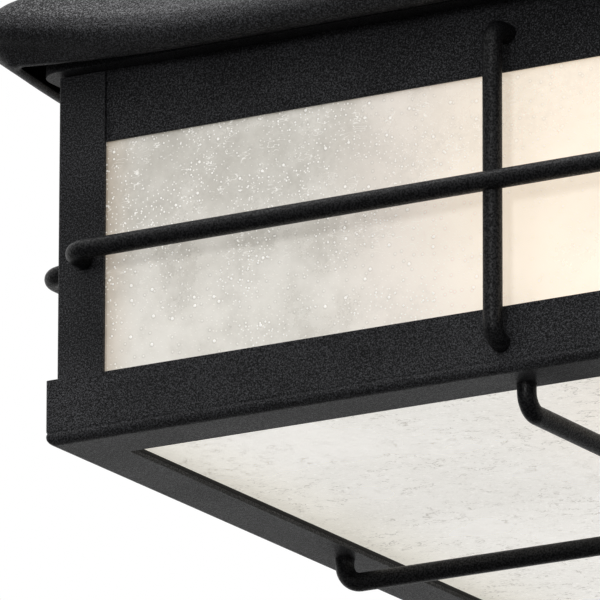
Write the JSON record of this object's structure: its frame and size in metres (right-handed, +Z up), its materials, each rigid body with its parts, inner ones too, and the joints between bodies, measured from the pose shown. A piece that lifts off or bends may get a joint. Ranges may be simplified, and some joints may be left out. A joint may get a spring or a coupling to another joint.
{
  "type": "outdoor flush mount ceiling lantern",
  "caption": "Square black outdoor flush mount lantern with a rounded canopy, crossed round bars on every side and below, and seeded glass panes.",
  "frame": {"origin": "centre of the ceiling plane, on top of the mounting crossbar", "axes": "+Z up towards the ceiling, -Y the front, -X the left side with the hinges, +X the right side with the thumbscrews"},
  "size_m": [0.3026, 0.3026, 0.1364],
  "materials": {
    "black_powder_coat": "fine textured satin powder coat",
    "seeded_glass": "clear with fine seeds and bubbles",
    "zinc_steel": "zinc plated",
    "nickel_plate": "nickel plated",
    "green_screw": "green lacquer",
    "insulation": "glass wool mat",
    "white_enamel": "gloss white enamel",
    "black_rubber": "matte",
    "connector_plastic": "matte",
    "porcelain": "glazed",
    "brass": "pressed sheet",
    "frosted_glass": "inside frosted"
  },
  "bodies": {
    "ceiling_unit": {"mounting_crossbar": "zinc_steel", "mounting_studs": "zinc_steel", "cap_nuts": "nickel_plate", "ground_screw": "green_screw", "canopy": "black_powder_coat", "canopy_deck": "black_powder_coat", "neck_pan": "black_powder_coat", "insulation_pad": "insulation", "reflector_plate": "white_enamel", "reflector_screws": "zinc_steel", "wire_bushing": "black_rubber", "lamp_leads": "black_rubber", "wire_connectors": "connector_plastic", "lamp_bracket_front": "zinc_steel", "lamp_bracket_rear": "zinc_steel", "lampholder_front": "porcelain", "lampholder_rear": "porcelain", "screw_shell_front": "brass", "screw_shell_rear": "brass", "contact_front": "brass", "contact_rear": "brass", "hinge_fixed_leaves": "black_powder_coat", "hinge_pins": "zinc_steel", "catch_tabs": "zinc_steel", "catch_nuts": "zinc_steel"},
    "bulb_front": {"bulb_glass_front": "frosted_glass", "bulb_cap_front": "nickel_plate"},
    "bulb_rear": {"bulb_glass_rear": "frosted_glass", "bulb_cap_rear": "nickel_plate"},
    "thumbscrew_front": {"thumbscrew_front": "black_powder_coat"},
    "thumbscrew_rear": {"thumbscrew_rear": "black_powder_coat"},
    "cage": {"post_front_left": "black_powder_coat", "post_front_right": "black_powder_coat", "post_rear_left": "black_powder_coat", "post_rear_right": "black_powder_coat", "top_band_front": "black_powder_coat", "top_band_rear": "black_powder_coat", "top_band_left": "black_powder_coat", "top_band_right": "black_powder_coat", "sill_ring": "black_powder_coat", "side_glass_front": "seeded_glass", "side_glass_rear": "seeded_glass", "side_glass_left": "seeded_glass", "side_glass_right": "seeded_glass", "side_glass_clips": "zinc_steel", "bar_horizontal_front": "black_powder_coat", "bar_horizontal_rear": "black_powder_coat", "bar_horizontal_left": "black_powder_coat", "bar_horizontal_right": "black_powder_coat", "bar_vertical_front": "black_powder_coat", "bar_vertical_rear": "black_powder_coat", "bar_vertical_left": "black_powder_coat", "bar_vertical_right": "black_powder_coat", "bottom_frame": "black_powder_coat", "bottom_gasket": "black_rubber", "bottom_glass": "seeded_glass", "bottom_glass_clips": "zinc_steel", "bottom_bar_across": "black_powder_coat", "bottom_bar_fore_aft": "black_powder_coat", "hinge_cage_leaves": "black_powder_coat"}
  },
  "joints": [
    {"name": "cage_swing", "type": "hinge", "parent": "ceiling_unit", "child": "cage", "pos_m": [-0.1375, 0, -0.0345], "axis": [0, 1, 0], "range_deg": [0, 85]},
    {"name": "thumbscrew_front_turn", "type": "hinge", "parent": "ceiling_unit", "child": "thumbscrew_front", "pos_m": [0.131, -0.07, -0.0365], "axis": [1, 0, 0], "range_deg": [0, 1080]},
    {"name": "thumbscrew_rear_turn", "type": "hinge", "parent": "ceiling_unit", "child": "thumbscrew_rear", "pos_m": [0.131, 0.07, -0.0365], "axis": [1, 0, 0], "range_deg": [0, 1080]},
    {"name": "bulb_front_unscrew", "type": "hinge", "parent": "ceiling_unit", "child": "bulb_front", "pos_m": [0.016, -0.031, -0.067], "axis": [-1, 0, 0], "range_deg": [0, 1440]},
    {"name": "bulb_rear_unscrew", "type": "hinge", "parent": "ceiling_unit", "child": "bulb_rear", "pos_m": [-0.016, 0.031, -0.067], "axis": [1, 0, 0], "range_deg": [0, 1440]}
  ]
}
